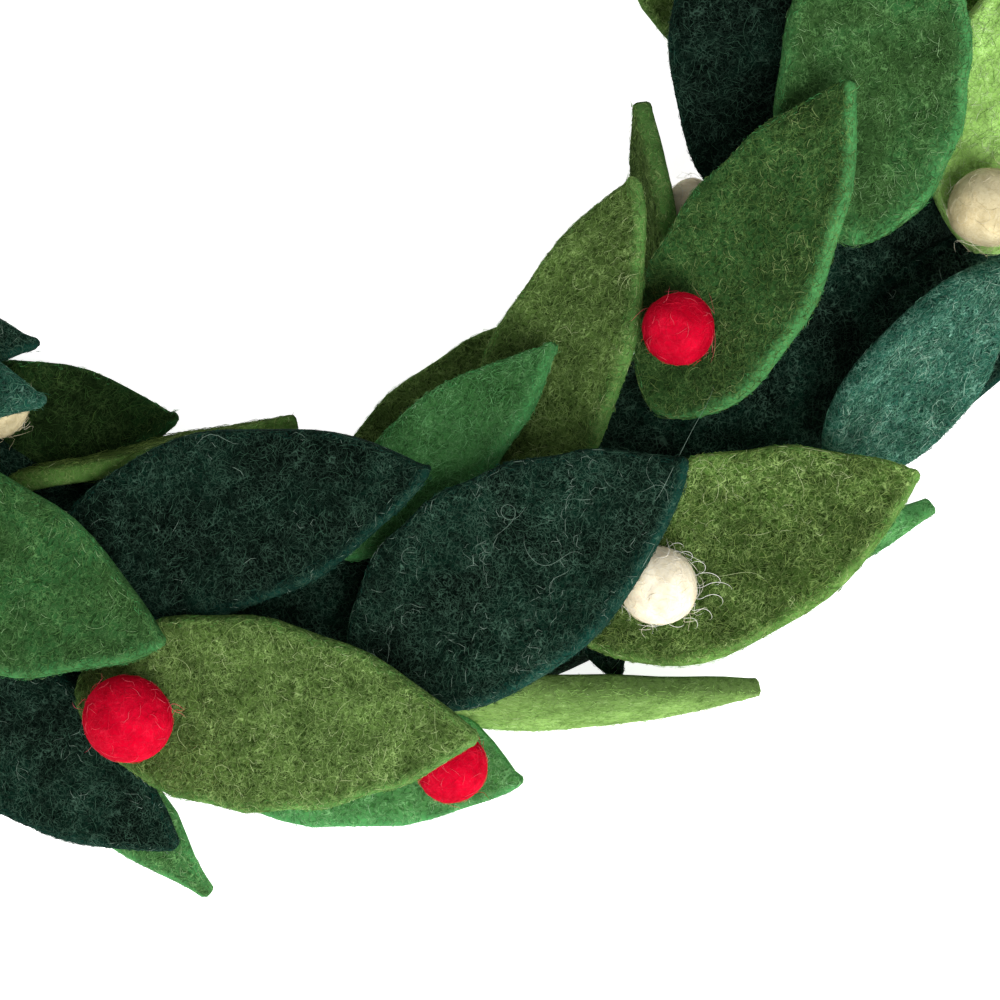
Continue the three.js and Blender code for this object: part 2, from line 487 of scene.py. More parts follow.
            # A single wool strand: one colour along its length, soft gloss from its scales. A coat's
            # colour varies by its mix of strands.
            wool = bpy.data.materials.new(f"loose_wool_strand_{felt.value}_{shade.name.lower()}")
            wool.use_nodes = True
            finish = {
                "Base Color": linear(colour),
                "Roughness": STRAND_ROUGHNESS,
                "Specular IOR Level": STRAND_GLOSS,
            }
            feed(wool.node_tree, wool.node_tree.nodes["Principled BSDF"], finish)
            made.append(wool)
        return made


# Each dye: pits, ground, second ground, strands, cut edge, and the loose wool from dark to pale
FINISHES: dict[Felt, FeltFinish] = {
    Felt.BOTTLE: FeltFinish(
        "#010805", "#06130d", "#0b251b", "#4d6d5b", "#164439",
        ("#14291e", "#3c5c4a", "#82998a"), 0.01, 0.8,
    ),
    Felt.TEAL: FeltFinish(
        "#06231a", "#1d4735", "#255645", "#7aaa94", "#2d6b58",
        ("#2f604d", "#5f9378", "#9fc2ac"), 0.02, 1.0, 0.9,
    ),
    Felt.FOREST: FeltFinish(
        "#172b11", "#2c4721", "#2b5127", "#678a4d", "#56a35e", ("#3b5b2c", "#5d7c3f", "#93a96b")
    ),
    Felt.KELLY: FeltFinish(
        "#1a3716", "#34552a", "#2e5f31", "#679358", "#52a05c", ("#3d6534", "#5d8c4d", "#90b77f")
    ),
    Felt.SPRING: FeltFinish(
        "#2c5c29", "#447a3d", "#4b8849", "#7fb877", "#54aa62", ("#4d884b", "#6ca86a", "#a2cf9d")
    ),
    Felt.MOSS: FeltFinish(
        "#162808", "#3a5422", "#4a692c", "#a0be70", "#76ad52", ("#587136", "#8ca65a", "#c4d49a")
    ),
    Felt.OLIVE: FeltFinish(
        "#1a2d0a", "#46602b", "#536f33", "#98b66d", "#629c4d", ("#5a763b", "#84a259", "#b4c88a")
    ),
    Felt.LIME: FeltFinish(
        "#6d9643", "#84ae56", "#92bc62", "#aed382", "#a2ce73", ("#8ab25e", "#a3c877", "#c8e0a6")
    ),
    Felt.RED: FeltFinish(
        "#bd021f", "#d60327", "#de0a2f", "#f02c49", "#de0a2f",
        ("#c80524", "#e5213f", "#f06472"), 0.03, 0.5, 0.4, 0.09,
    ),
    Felt.CREAM: FeltFinish(
        "#f0deb0", "#fff4d8", "#fbe9c4", "#fffcf2", "#fff8e4",
        ("#f4e8ca", "#fdf6e4", "#fffdf6"), 0.03, 0.5, 0.3, 0.03,
    ),
    # Painted shade: a darker copy of the cream wool, for balls that lie in shade
    Felt.CREAM_IN_SHADE: FeltFinish(
        "#b29d6c", "#dccfa6", "#d2c093", "#f0e6c4", "#e2d5ae",
        ("#cdbd90", "#e6dab4", "#f7f0d6"), 0.03, 0.5, 0.3, 0.03,
    ),
}


@dataclass
class FeltRack:
    """The felts and strand wools, each made once."""

    bodies: dict[Felt, bpy.types.Material] = field(default_factory=dict)
    wools: dict[Felt, list[bpy.types.Material]] = field(default_factory=dict)

    def body(self, felt: Felt) -> bpy.types.Material:
        """Give the pressed felt of a dye."""
        if felt not in self.bodies:
            self.bodies[felt] = FINISHES[felt].material(felt)
        return self.bodies[felt]

    def loose(self, felt: Felt) -> list[bpy.types.Material]:
        """Give the strand wools of a dye."""
        if felt not in self.wools:
            self.wools[felt] = FINISHES[felt].wools(felt)
        return self.wools[felt]


def strand_faces(points: int) -> np.ndarray:
    """List the triangles of one strand: a start point, rings of corners and an end point.

    Args:
        points: How many points the strand's path has, its two ends included.

    Returns:
        An array of triangles as corner numbers.
    """
    rings = points - 2
    last = rings * STRAND_SIDES + 1
    faces = []
    for i in range(STRAND_SIDES):
        j = (i + 1) % STRAND_SIDES
        faces.append((0, 1 + j, 1 + i))
        for ring in range(rings - 1):
            low = 1 + ring * STRAND_SIDES
            high = low + STRAND_SIDES
            faces.append((low + i, low + j, high + j))
            faces.append((low + i, high + j, high + i))
        top = 1 + (rings - 1) * STRAND_SIDES
        faces.append((last, top + i, top + j))
    return np.array(faces)


def unit(vectors: np.ndarray) -> np.ndarray:
    """Give vectors a length of one."""
    return vectors / np.maximum(np.linalg.norm(vectors, axis=-1, keepdims=True), TINY)


def sine_sum(
    rng: np.random.Generator,
    count: int,
    reaches: tuple[float, float],
    along: np.ndarray,
    across: np.ndarray,
) -> np.ndarray:
    """Add up sines of random length, direction and start over a leaf.

    Args:
        rng: The leaf's own random numbers.
        count: How many sines.
        reaches: The shortest and longest wave, in millimetres.
        along: Distance from the root.
        across: Distance to the left of the midline.

    Returns:
        The sum at each place.
    """
    total = np.zeros_like(along)
    for _ in range(count):
        reach = rng.uniform(*reaches)
        turn = rng.uniform(0, math.pi)
        start = rng.uniform(0, FULL_TURN)
        total += np.sin((along * math.cos(turn) + across * math.sin(turn)) * FULL_TURN / reach + start)
    return total


def strand_corners(path: np.ndarray, radius: np.ndarray) -> np.ndarray:
    """Place the corners of many strands round their paths.

    Args:
        path: Path points of each strand, (strands, points, 3).
        radius: Radius of each strand at its middle.

    Returns:
        Corners of each strand, (strands, corners, 3).
    """
    count, points, _ = path.shape
    along = unit(np.gradient(path, axis=1))
    side = unit(np.cross(along, np.array(STRAND_LEAN)))
    up = np.cross(along, side)
    turn = np.arange(STRAND_SIDES) * FULL_TURN / STRAND_SIDES
    taper = np.sqrt(np.sin(np.linspace(0, math.pi, points)[1:-1]))
    reach = radius[:, None, None, None] * taper[None, :, None, None]
    around = (
        np.cos(turn)[None, None, :, None] * side[:, 1:-1, None, :]
        + np.sin(turn)[None, None, :, None] * up[:, 1:-1, None, :]
    )
    rings = (path[:, 1:-1, None, :] + reach * around).reshape(count, -1, 3)
    return np.concatenate([path[:, :1], rings, path[:, -1:]], axis=1)


@dataclass
class FibreCoat:
    """The loose strands of one piece, gathered and joined as one mesh."""

    name: str
    felt: Felt
    corners: list[np.ndarray] = field(default_factory=list)
    faces: list[np.ndarray] = field(default_factory=list)
    shades: list[np.ndarray] = field(default_factory=list)
    used: int = 0

    def add(self, path: np.ndarray, radius: np.ndarray, shade: np.ndarray) -> None:
        """Add strands that share a number of points.

        Args:
            path: Path points in millimetres, (strands, points, 3).
            radius: Radius of each strand.
            shade: Which of the dye's wools each strand is, as Shade numbers them.
        """
        clear = path.copy()
        clear[..., 2] = np.maximum(clear[..., 2], FLOOR_CLEAR + radius[:, None])
        corners = strand_corners(clear, radius)
        count, size, _ = corners.shape
        pattern = strand_faces(path.shape[1])
        starts = self.used + np.arange(count) * size
        self.corners.append(corners.reshape(-1, 3))
        self.faces.append((pattern[None] + starts[:, None, None]).reshape(-1, 3))
        self.shades.append(np.repeat(shade, len(pattern)))
        self.used += count * size

    def piece(self, rack: FeltRack) -> bpy.types.Object:
        """Join the strands into a piece.

        Args:
            rack: The felts and wools.

        Returns:
            The fuzz as one object.
        """
        corners = np.concatenate(self.corners) * MM
        faces = np.concatenate(self.faces)
        mesh = bpy.data.meshes.new(self.name)
        mesh.vertices.add(len(corners))
        mesh.vertices.foreach_set("co", corners.astype(np.float32).ravel())
        mesh.loops.add(faces.size)
        mesh.loops.foreach_set("vertex_index", faces.astype(np.int32).ravel())
        mesh.polygons.add(len(faces))
        mesh.polygons.foreach_set("loop_start", np.arange(0, faces.size, 3, dtype=np.int32))
        for wool in rack.loose(self.felt):
            mesh.materials.append(wool)
        mesh.polygons.foreach_set("material_index", np.concatenate(self.shades).astype(np.int32))
        mesh.update(calc_edges=True)
        mesh.shade_smooth()
        return new_piece(self.name, mesh)


@dataclass(frozen=True)
class Wool:
    """How the loose strands of a surface lie: sizes in millimetres, curl in radians a millimetre.

    Odds are those of the dark, middle, pale and cut-edge wools, and swing is a bend to and fro in radians.
    """

    points: int
    length: tuple[float, float]
    lift: tuple[float, float]
    radius: tuple[float, float]
    curl: float
    free_share: float
    shade_odds: tuple[float, ...]
    swing: float = 0.5

    def sizes(
        self, rng: np.random.Generator, count: int, cloud: np.ndarray
    ) -> tuple[np.ndarray, np.ndarray, np.ndarray]:
        """Draw strand lengths, radii and shades.

        Args:
            rng: The piece's own random numbers.
            count: How many strands.
            cloud: How dark or light the wool is where each strand starts, where 0 is its middle tone.

        Returns:
            Lengths, radii and shade numbers.
        """
        length = rng.uniform(*self.length, count)
        radius = rng.uniform(*self.radius, count)
        draw = np.clip(rng.random(count) + CLOUD_SWAY * cloud, 0, 1)
        shade = np.minimum(np.digitize(draw, np.cumsum(self.shade_odds)), len(self.shade_odds) - 1)
        return length, radius, shade

    def walk(self, rng: np.random.Generator, length: np.ndarray, heading: np.ndarray) -> np.ndarray:
        """Lay curled strands out flat.

        Args:
            rng: The piece's own random numbers.
            length: Length of each strand.
            heading: Direction in which each strand sets out, in radians.

        Returns:
            Offsets along and across from the start, (strands, points, 2).
        """
        count = len(length)
        share = np.linspace(0, 1, self.points)
        curl = rng.normal(0, self.curl, count) * length
        swing = rng.normal(0, self.swing, count)
        turn = heading[:, None] + curl[:, None] * share + swing[:, None] * np.sin(FULL_TURN * share)
        step = (length / (self.points - 1))[:, None]
        moves = np.stack([np.cos(turn), np.sin(turn)], axis=-1) * step[..., None]
        return np.cumsum(moves, axis=1) - moves[:, :1]

    def rise(self, rng: np.random.Generator, count: int) -> np.ndarray:
        """Draw how each strand stands off its surface: most arch and come down, some end free.

        Args:
            rng: The piece's own random numbers.
            count: How many strands.

        Returns:
            Heights above the surface, (strands, points).
        """
        share = np.linspace(0, 1, self.points)
        top = rng.uniform(*self.lift, count)
        free = rng.random(count) < self.free_share
        arch = np.sin(math.pi * share)[None] * top[:, None]
        flick = (share**FLICK_POWER)[None] * (FLICK_GAIN * top)[:, None]
        return np.where(free[:, None], flick, arch)


# Real wool is about 0.03 mm thick. The strands are up to three times as thick, so that they show.
FACE_WOOL = Wool(4, (1.4, 3.4), (0.02, 0.26), (0.028, 0.048), 0.85, 0.1, (0.46, 0.47, 0.07))
CURL_WOOL = Wool(8, (4.0, 8.5), (0.08, 0.4), (0.025, 0.038), 0.5, 0.08, (0.15, 0.6, 0.25), 0.9)
EDGE_WOOL = Wool(3, (0.7, 1.9), (0.02, 0.28), (0.028, 0.046), 0.8, 0.4, (0.15, 0.35, 0.05, 0.45))
BALL_WOOL = Wool(5, (1.8, 4.2), (0.02, 0.16), (0.02, 0.03), 0.45, 0.1, (0.34, 0.5, 0.16))
WISP_WOOL = Wool(10, (2.5, 5.5), (0.3, 1.3), (0.022, 0.034), 1.0, 0.85, (0.05, 0.45, 0.5), 0.8)
# The undyed wools stand off in wisps, and the red is wound tight.
WISPS = {Felt.RED: 14, Felt.CREAM: 40, Felt.CREAM_IN_SHADE: 40}


@dataclass(frozen=True)
class LeafCut:
    """One felt leaf: its root on the ring, its heading and its cut, in millimetres and degrees."""

    name: str
    felt: Felt
    angle: float
    radius: float
    rise: float
    splay: float
    pitch: float
    roll: float
    bend: float
    cup: float
    length: float
    width: float

    def half_width(self, share: np.ndarray) -> np.ndarray:
        """Give half of the leaf's width at a share of its length."""
        inside = np.clip(share, 0, 1)
        widest = ROOT_POWER / (ROOT_POWER + TIP_POWER)
        form = (inside / widest) ** ROOT_POWER * ((1 - inside) / (1 - widest)) ** TIP_POWER
        return np.maximum(END_WIDTH, self.width * form) / 2

    def flat_area(self) -> float:
        """Give the area of the flat cut in square millimetres."""
        shares = np.linspace(0, 1, AREA_STEPS)
        return float(np.mean(2 * self.half_width(shares)) * self.length)

    def place(self) -> np.ndarray:
        """Give the matrix that sets the leaf at its root on the ring."""
        seat = seat_height(self.radius) + self.rise
        made = (
            Matrix.Translation(RING_CENTRE)
            @ Matrix.Rotation(math.radians(self.angle), 4, "Z")
            @ Matrix.Translation((self.radius, 0, seat))
            @ Matrix.Rotation(math.radians(90 - self.splay), 4, "Z")
            @ Matrix.Rotation(math.radians(-self.pitch), 4, "Y")
            @ Matrix.Rotation(math.radians(self.roll), 4, "X")
        )
        return np.array(made)

    def wave(self, along: np.ndarray, across: np.ndarray) -> np.ndarray:
        """Give how far the hand-cut leaf waves out of its plane, in millimetres."""
        rng = np.random.default_rng(seed_of(self.name))
        total = sine_sum(rng, FACE_WAVE_COUNT, FACE_WAVE_REACH, along, across)
        return total * FACE_WAVE / FACE_WAVE_COUNT

    def surface(self, along: np.ndarray, across: np.ndarray, height: np.ndarray) -> np.ndarray:
        """Place points of the leaf in the part's frame.

        Args:
            along: Distance from the root.
            across: Distance to the left of the midline.
            height: Height above the middle of the sheet.

        Returns:
            Points in millimetres, one row each.
        """
        half_span = self.width / 2
        slope = 2 * self.cup * across / half_span**2
        tilt = 1 / np.sqrt(1 + slope**2)
        lift = height + self.wave(along, across)
        side = across - slope * tilt * lift
        up = self.cup * (across / half_span) ** 2 + tilt * lift
        turn = math.radians(self.bend)
        if turn:
            part = turn * along / self.length
            middle_x = self.length * np.sin(part) / turn
            middle_z = self.length * (1 - np.cos(part)) / turn
        else:
            part = np.zeros_like(along)
            middle_x = along
            middle_z = np.zeros_like(along)
        local = np.stack(
            [middle_x - up * np.sin(part), side, middle_z + up * np.cos(part), np.ones_like(along)], axis=-1
        )
        return (local @ self.place().T)[..., :3]


def seat_height(radius: float) -> float:
    """Give the height of the middle of a leaf that lies on the ring's crown at a radius."""
    ring = PaddedRing()
    across = (radius - ring.middle) / ring.half_width
    rest = CLEARANCE + FELT / 2
    if abs(across) >= 1:
        return rest
    crown = math.sqrt(1 - across**2)
    slope = ring.height * across / (ring.half_width * crown)
    return min(ring.height * crown + rest * math.hypot(1, slope), ring.height + rest)


@dataclass(frozen=True)
class PaintedLightTone:
    """Painted light and shade on a piece: darker or lighter all over, to its left edge and to its root, as
    light and shade fall on it.

    The last value is how many millimetres the outer edge's lighter rim, a painted highlight, widens towards
    the root.
    """

    overall: float = 0.0
    left_edge: float = 0.0
    root: float = 0.0
    root_rim: float = 0.0

    def at(self, side: np.ndarray, way: np.ndarray) -> np.ndarray:
        """Give the painted light and shade at points of a leaf.

        Args:
            side: Share of the half width, from -1 at the right edge to 1 at the left.
            way: Share of the length, from 0 at the root to 1 at the tip.

        Returns:
            The tone, where 0 is the felt's own.
        """
        to_left = np.clip((1 + side) / 2, 0, 1) ** 2
        return self.overall + self.left_edge * to_left + self.root * self.to_root(way)

    def to_root(self, way: np.ndarray) -> np.ndarray:
        """Give how near points are to the root, from 1 there to 0 where its tone ends."""
        return np.clip(1 - way / ROOT_TONE_REACH, 0, 1)


NO_PAINTED_LIGHT = PaintedLightTone()
# Pieces with painted light and shade: darkened where they lie in shade under or beside other pieces,
# lightened where they catch more light
PAINTED_LIGHT_TONES = {
    "leaf_bottle_a": PaintedLightTone(-0.3),
    "leaf_bottle_c": PaintedLightTone(-0.2),
    "leaf_bottle_d": PaintedLightTone(-0.15),
    "leaf_teal_b": PaintedLightTone(-0.4),
    "leaf_spring_a": PaintedLightTone(-0.38),
    "leaf_lime_a": PaintedLightTone(0.38),
    "leaf_moss_a": PaintedLightTone(-0.22, 0.46, -0.1),
    "leaf_olive_a": PaintedLightTone(-0.14),
    "leaf_olive_b": PaintedLightTone(0.02, 0.0, -0.4),
    "leaf_kelly_a": PaintedLightTone(0.06, 0.0, 0.0, 4.0),
    "under_moss_b": PaintedLightTone(-0.36),
    "under_olive_a": PaintedLightTone(-0.42),
    "under_forest_a": PaintedLightTone(-0.66),
    "under_lime_a": PaintedLightTone(-0.06, -0.6),
    "under_olive_b": PaintedLightTone(-0.15),
    "under_kelly_a": PaintedLightTone(0.5),
    "berry_red_b": PaintedLightTone(-0.12),
}


@dataclass(frozen=True)
class LooseHair:
    """One long hair on a leaf or its ball: points as distance along, across and above the leaf's face."""

    radius: float
    knots: tuple[tuple[float, float, float], ...]

    def path(self, points: int) -> np.ndarray:
        """Run a smooth curve near the knots.

        Args:
            points: How many points the curve gets.

        Returns:
            Distances along, across and above the face, (points, 3).
        """
        knots = np.array(self.knots)
        at = np.linspace(0, 1, len(knots))
        fine = np.linspace(0, 1, points)
        degree = min(len(knots) - 1, HAIR_DEGREE)
        return np.stack([np.polyval(np.polyfit(at, column, degree), fine) for column in knots.T], axis=-1)


# Long hairs after the photo, and the curled wisps of one cream ball
LOOSE_HAIRS: dict[str, tuple[LooseHair, ...]] = {
    "leaf_bottle_b": (
        LooseHair(
            0.035,
            ((50, -3, 0.3), (53, -2, 0.6), (56, 0, 0.2), (59, 3, -4), (61.5, 5.5, -10), (64, 8.5, -17)),
        ),
        LooseHair(
            0.035,
            (
                (28.5, 5.3, 0.1),
                (31.2, 5.8, 0.3),
                (33.6, 7.0, 0.5),
                (33.2, 8.5, 0.6),
                (31.8, 8.2, 0.5),
                (31.9, 6.8, 0.4),
                (33.6, 6.2, 0.3),
                (35.4, 6.7, 0.1),
            ),
        ),
        LooseHair(
            0.03,
            ((33, 3.5, 0.1), (32, 0.5, 0.4), (33.5, -2, 0.5), (36.5, -2.2, 0.4), (39, -4, 0.1)),
        ),
    ),
    "leaf_moss_a": (
        LooseHair(0.03, ((22, -1, 0.1), (25, -3.4, 0.5), (28.5, -4.2, 0.5), (31, -7, 0.1))),
    ),
    "leaf_olive_b": (
        LooseHair(0.03, ((13, 6.5, 0.1), (16, 7.4, 0.5), (18, 6, 0.6), (17.4, 3.5, 0.2))),
    ),
    "berry_cream_a": (
        LooseHair(
            0.034,
            ((20.2, 2.4, 6.4), (20.9, 3.3, 5.4), (21.8, 3.1, 4.6), (22.0, 2.2, 4.0)),
        ),
        LooseHair(
            0.034,
            ((21.5, 1.0, 6.5), (22.4, 1.5, 5.5), (22.9, 0.7, 4.6), (22.3, 0.1, 4.2), (21.9, 0.5, 4.0)),
        ),
        LooseHair(
            0.036,
            ((22.4, -0.9, 6.3), (23.4, -0.6, 5.2), (24.0, -1.4, 4.2), (23.5, -2.2, 3.6), (22.9, -1.9, 3.3)),
        ),
        LooseHair(
            0.038,
            ((22.4, -2.8, 6.2), (23.6, -2.6, 5.2), (24.8, -3.3, 4.0), (25.1, -4.4, 3.0), (23.8, -4.5, 2.4)),
        ),
        LooseHair(
            0.036,
            ((22.0, -4.3, 6.2), (23.0, -4.6, 5.0), (24.2, -4.4, 4.0), (25.6, -5.0, 2.8), (26.0, -6.2, 1.8)),
        ),
        LooseHair(
            0.038,
            ((21.2, -5.5, 6.0), (22.2, -6.2, 4.8), (23.4, -6.0, 3.8), (24.4, -6.8, 2.6), (23.2, -7.9, 1.8)),
        ),
        LooseHair(
            0.036,
            ((20.0, -6.6, 6.0), (20.8, -7.6, 4.8), (21.8, -7.7, 3.8), (22.3, -8.6, 2.8), (21.5, -9.1, 2.2)),
        ),
        LooseHair(
            0.034,
            ((18.5, -7.2, 6.0), (19.0, -8.2, 5.0), (19.9, -8.5, 4.0), (20.0, -9.3, 3.0), (19.1, -9.6, 2.4)),
        ),
        LooseHair(
            0.034,
            ((16.6, -7.4, 6.0), (16.7, -8.4, 5.0), (17.5, -8.9, 4.0), (18.3, -8.6, 3.4)),
        ),
    ),
}


def lay_hairs(coat: FibreCoat, piece: str, cut: LeafCut) -> None:
    """Lay the long hairs of one piece.

    Args:
        coat: The coat that gets them.
        piece: The leaf or ball that they are on.
        cut: The leaf, or the leaf that carries the ball.
    """
    for hair in LOOSE_HAIRS.get(piece, ()):
        along, across, above = hair.path(HAIR_POINTS).T
        path = cut.surface(along, across, FELT / 2 + above)
        coat.add(path[None], np.array([hair.radius]), np.array([Shade.PALE.value]))


@dataclass(frozen=True)
class LeafRow:
    """Leaves like the first at an even step round the ring, with felts in turn."""

    first: LeafCut
    felts: tuple[Felt, ...]
    count: int
    step: float

    def cuts(self) -> list[LeafCut]:
        """List the row's leaves, each a little out of its even place."""
        made = []
        for i in range(self.count):
            angle, splay, roll = (by * math.sin(step * i + start) for by, step, start in ROW_STRAYS)
            cut = replace(
                self.first,
                name=f"{self.first.name}_{i + 1}",
                felt=self.felts[i % len(self.felts)],
                angle=self.first.angle + i * self.step + angle,
                splay=self.first.splay + splay,
                roll=self.first.roll + roll,
            )
            made.append(cut)
        return made


# Leaves after the photo, one by one, and the rows of leaves that finish the ring
TOP_CUTS = (
    LeafCut("leaf_bottle_a", Felt.BOTTLE, -22.5, 75.4, 0.9, -24.5, 16, -22, 0, 1, 58, 25),
    LeafCut("leaf_kelly_a", Felt.KELLY, -22, 89.3, 4.2, -17, 17, -8, 0, 3, 57, 26.5),
    LeafCut("leaf_lime_a", Felt.LIME, -18.5, 107, 10, 0, 12, 10, 0, 1, 56, 28),
    LeafCut("leaf_forest_a", Felt.FOREST, -46.1, 79.8, 0, -16.8, 22.5, -25, 0, 1.5, 56, 25),
    LeafCut("leaf_olive_a", Felt.OLIVE, -67.5, 80.5, 0.3, -45, 5.5, -26, 0, 1, 55, 22),
    LeafCut("leaf_spring_a", Felt.SPRING, -84.4, 78.2, 0, -37, 11, -16, 0, 1, 45, 16),
    LeafCut("leaf_teal_a", Felt.TEAL, -39.2, 104.4, 2.4, -0.8, 13, 45, 0, 1.5, 40, 24),
    LeafCut("leaf_moss_a", Felt.MOSS, -65, 95.8, 2.1, 3, 14.6, -8, 0, 1.5, 56, 28),
    LeafCut("leaf_bottle_b", Felt.BOTTLE, -83, 95.5, 3.8, -26, 18, -10, 0, 1.5, 58, 30),
    LeafCut("leaf_bottle_c", Felt.BOTTLE, -112, 85.5, 0, -36, 15, -2, 0, 1, 58, 26),
    LeafCut("leaf_kelly_b", Felt.KELLY, -134, 98.5, 1.1, -24, 15.5, 0, 0, 1, 59, 29),
    LeafCut("leaf_olive_b", Felt.OLIVE, -106.5, 102, 7.4, -11, 14, 8, 0, 1, 60, 28),
    LeafCut("leaf_bottle_d", Felt.BOTTLE, -124, 107.2, 6, 2, 2, 18, 0, 1, 55, 26),
    LeafCut("leaf_teal_b", Felt.TEAL, -149.8, 91.8, 0.3, -47.8, 8, -10, 0, 1, 48, 18),
)
INNER_ROW = LeafCut("leaf_inner", Felt.OLIVE, 5.3, 83, 0.2, -30, 14, -12, 0, 1, 57, 27)
OUTER_ROW = LeafCut("leaf_outer", Felt.TEAL, 16, 99.4, 0.8, -2, 13, 9, 0, 1, 57, 28)
ROW_STEP = 22.5
TOP_ROWS = (
    LeafRow(INNER_ROW, (Felt.OLIVE, Felt.KELLY, Felt.BOTTLE, Felt.FOREST, Felt.MOSS), 9, ROW_STEP),
    LeafRow(OUTER_ROW, (Felt.TEAL, Felt.FOREST, Felt.LIME, Felt.BOTTLE, Felt.KELLY), 9, ROW_STEP),
)
UNDER_CUTS = (
    LeafCut("under_moss_b", Felt.MOSS, -121.5, 79.5, -4.7, -43, 4, -80, 0, 0, 45, 13),
    LeafCut("under_olive_a", Felt.OLIVE, -40.4, 75.8, -4, -48, 5, -74, 0, 0, 38, 14),
    LeafCut("under_olive_b", Felt.OLIVE, -86, 77.4, -7.9, -43, 1, -15, 0, 0, 47, 17),
    LeafCut("under_spring_a", Felt.SPRING, -64, 97.5, -2, 19, 0, 60, -24, 0, 57, 16),
    LeafCut("under_lime_a", Felt.LIME, -82, 99.3, -1.2, 15, 0, 66, -17, 0, 57, 18),
    LeafCut("under_spring_b", Felt.SPRING, -102, 101, -4, 1, 0, 8, 0, 0, 58, 28),
    LeafCut("under_kelly_a", Felt.KELLY, -121, 100, -6, 16, 0, 10, 0, 0, 59, 16),
    LeafCut("under_forest_a", Felt.FOREST, -136, 87, -9, -49, 0, -6, 0, 0, 47, 21),
    LeafCut("under_bottle_a", Felt.BOTTLE, -151.6, 90.7, -8, -56.6, 2, -8, 0, 0, 44, 14),
    LeafCut("under_bottle_b", Felt.BOTTLE, -60.7, 83.6, -8.7, 99.3, 0, 0, 0, 0, 25, 12),
)
UNDER_INNER_ROW = LeafCut("under_inner", Felt.OLIVE, -6, 77, -6, -46, 2, -18, 0, 0, 46, 24)
UNDER_OUTER_ROW = LeafCut("under_outer", Felt.BOTTLE, -38, 100, -5, 8, 2, 12, 0, 0, 54, 24)
UNDER_ROWS = (
    LeafRow(UNDER_INNER_ROW, (Felt.OLIVE, Felt.FOREST, Felt.BOTTLE), 9, ROW_STEP),
    LeafRow(UNDER_OUTER_ROW, (Felt.BOTTLE, Felt.MOSS, Felt.SPRING), 12, ROW_STEP),
)


@dataclass
class PaddedRing:
    """The padded ring that carries the leaves: half round, flat at the back."""

    middle: float = 87.8
    half_width: float = 16.8
    height: float = 12.0
    section_sides: int = 40
    turns: int = 120

    def mesh(self) -> bpy.types.Mesh:
        """Spin the half-round section about the wreath's axis.

        Returns:
            The ring's closed mesh.
        """
        bm = bmesh.new()
        bmesh.ops.create_circle(bm, segments=self.section_sides, radius=1.0)
        section = (
            Matrix.Translation((self.middle, 0, 0))
            @ Matrix.Diagonal((self.half_width, 1, self.height, 1))
            @ Matrix.Rotation(math.radians(90), 4, "X")
        )
        bmesh.ops.transform(bm, matrix=section, verts=bm.verts)
        bmesh.ops.bisect_plane(
            bm,
            geom=[*bm.verts, *bm.edges],
            plane_co=(0, 0, 0),
            plane_no=(0, 0, 1),
            clear_inner=True,
        )
        bmesh.ops.remove_doubles(bm, verts=bm.verts, dist=WELD)
        ends = [v for v in bm.verts if len(v.link_edges) == 1]
        bm.edges.new(ends)
        bmesh.ops.spin(
            bm,
            geom=[*bm.verts, *bm.edges],
            cent=(0, 0, 0),
            axis=(0, 0, 1),
            angle=FULL_TURN,
            steps=self.turns,
            use_merge=True,
        )
        bmesh.ops.transform(
            bm, matrix=Matrix.Scale(MM, 4) @ Matrix.Translation(RING_CENTRE), verts=bm.verts
        )
        bmesh.ops.recalc_face_normals(bm, faces=bm.faces)
        mesh = smooth_mesh(bm, RING_PIECE)
        mesh.set_sharp_from_angle(angle=BACK_CREASE)
        return mesh

    def build(self, rack: FeltRack) -> bpy.types.Object:
        """Make the ring and dress it in dark felt.

        Args:
            rack: The felts and wools.

        Returns:
            The ring.
        """
        ring = new_piece(RING_PIECE, self.mesh())
        ring.data.materials.append(rack.body(Felt.BOTTLE))
        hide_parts("base")
        return ring


@dataclass(frozen=True)
class LeafDetail:
    """How finely a leaf is made: its strands on the face, in long curls and on the edge, and its grid."""

    face_strands: int
    curl_strands: int
    edge_strands: int
    along_steps: int
    across_steps: int
    through_steps: int = 4


# Leaves that the camera sees close have thicker coats than those that finish the ring
NEAR_TOP = LeafDetail(1950, 30, 850, 26, 12)
FAR_TOP = LeafDetail(540, 14, 300, 20, 10)
NEAR_UNDER = LeafDetail(680, 12, 300, 20, 8)
FAR_UNDER = LeafDetail(120, 6, 90, 14, 6)


